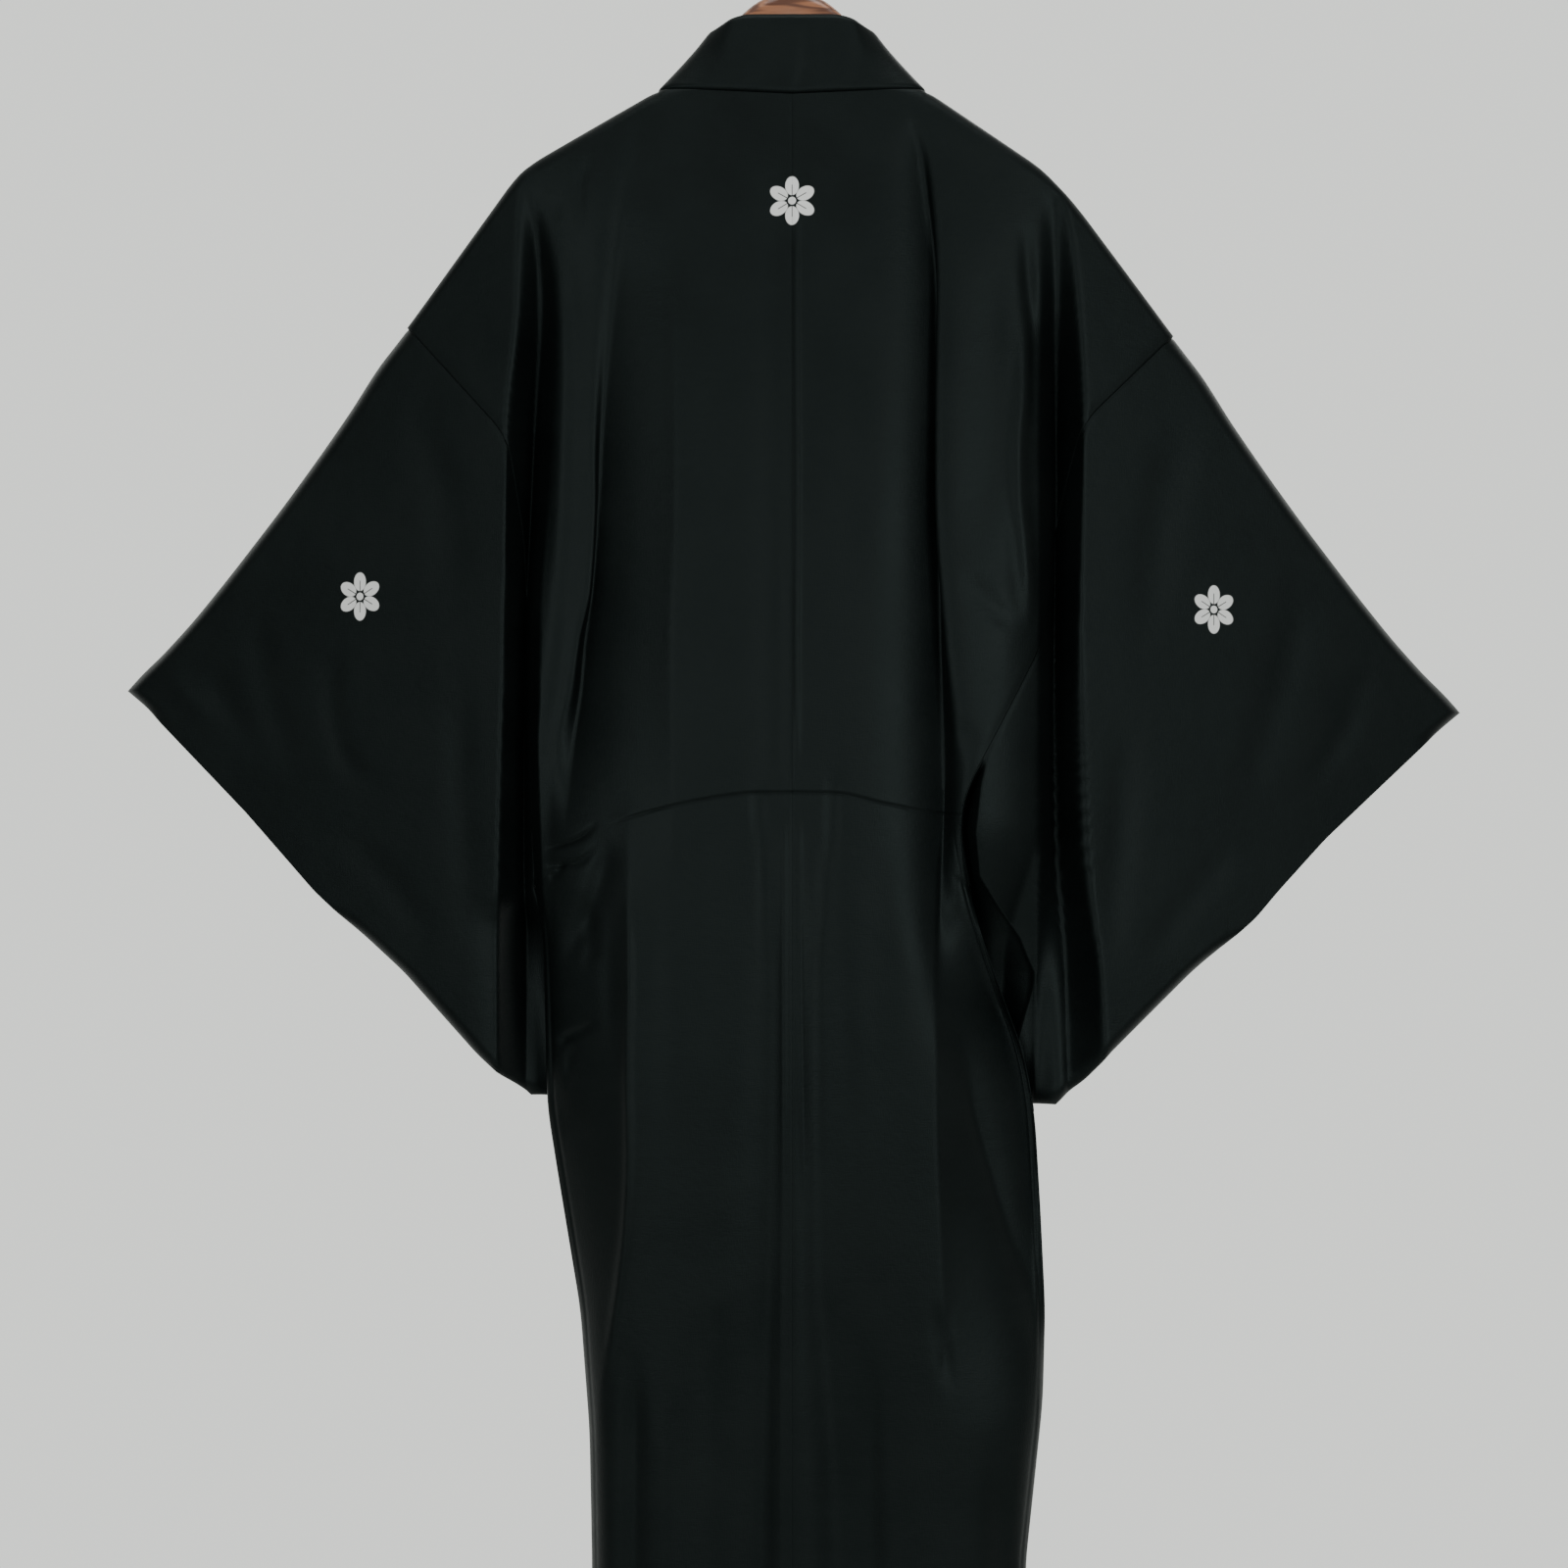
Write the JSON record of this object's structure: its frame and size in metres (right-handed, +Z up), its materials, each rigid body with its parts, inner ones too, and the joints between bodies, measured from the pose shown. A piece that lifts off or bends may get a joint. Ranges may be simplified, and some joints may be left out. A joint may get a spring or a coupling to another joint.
{
  "type": "crested kimono on a hanger",
  "caption": "Black crested silk kimono hung on a wooden hanger, sleeves spread, with open neck, cuffs and hem.",
  "frame": {"origin": "inner top of the hanger's hook, where a rod holds it", "axes": "+Z up, +Y out of the garment's front, so its back faces -Y; +X to its wearer's right"},
  "size_m": [1.0491, 0.1765, 1.5945],
  "materials": {
    "silk": "black silk, soft sheen",
    "wood": "lacquered, red-brown",
    "hook": "polished"
  },
  "bodies": {
    "root": {"body_left": "silk", "body_right": "silk", "okumi_left": "silk", "okumi_right": "silk", "collar": "silk", "sleeve_left": "silk", "sleeve_right": "silk", "hanger": "wood", "hanger_hook": "hook"}
  },
  "joints": []
}
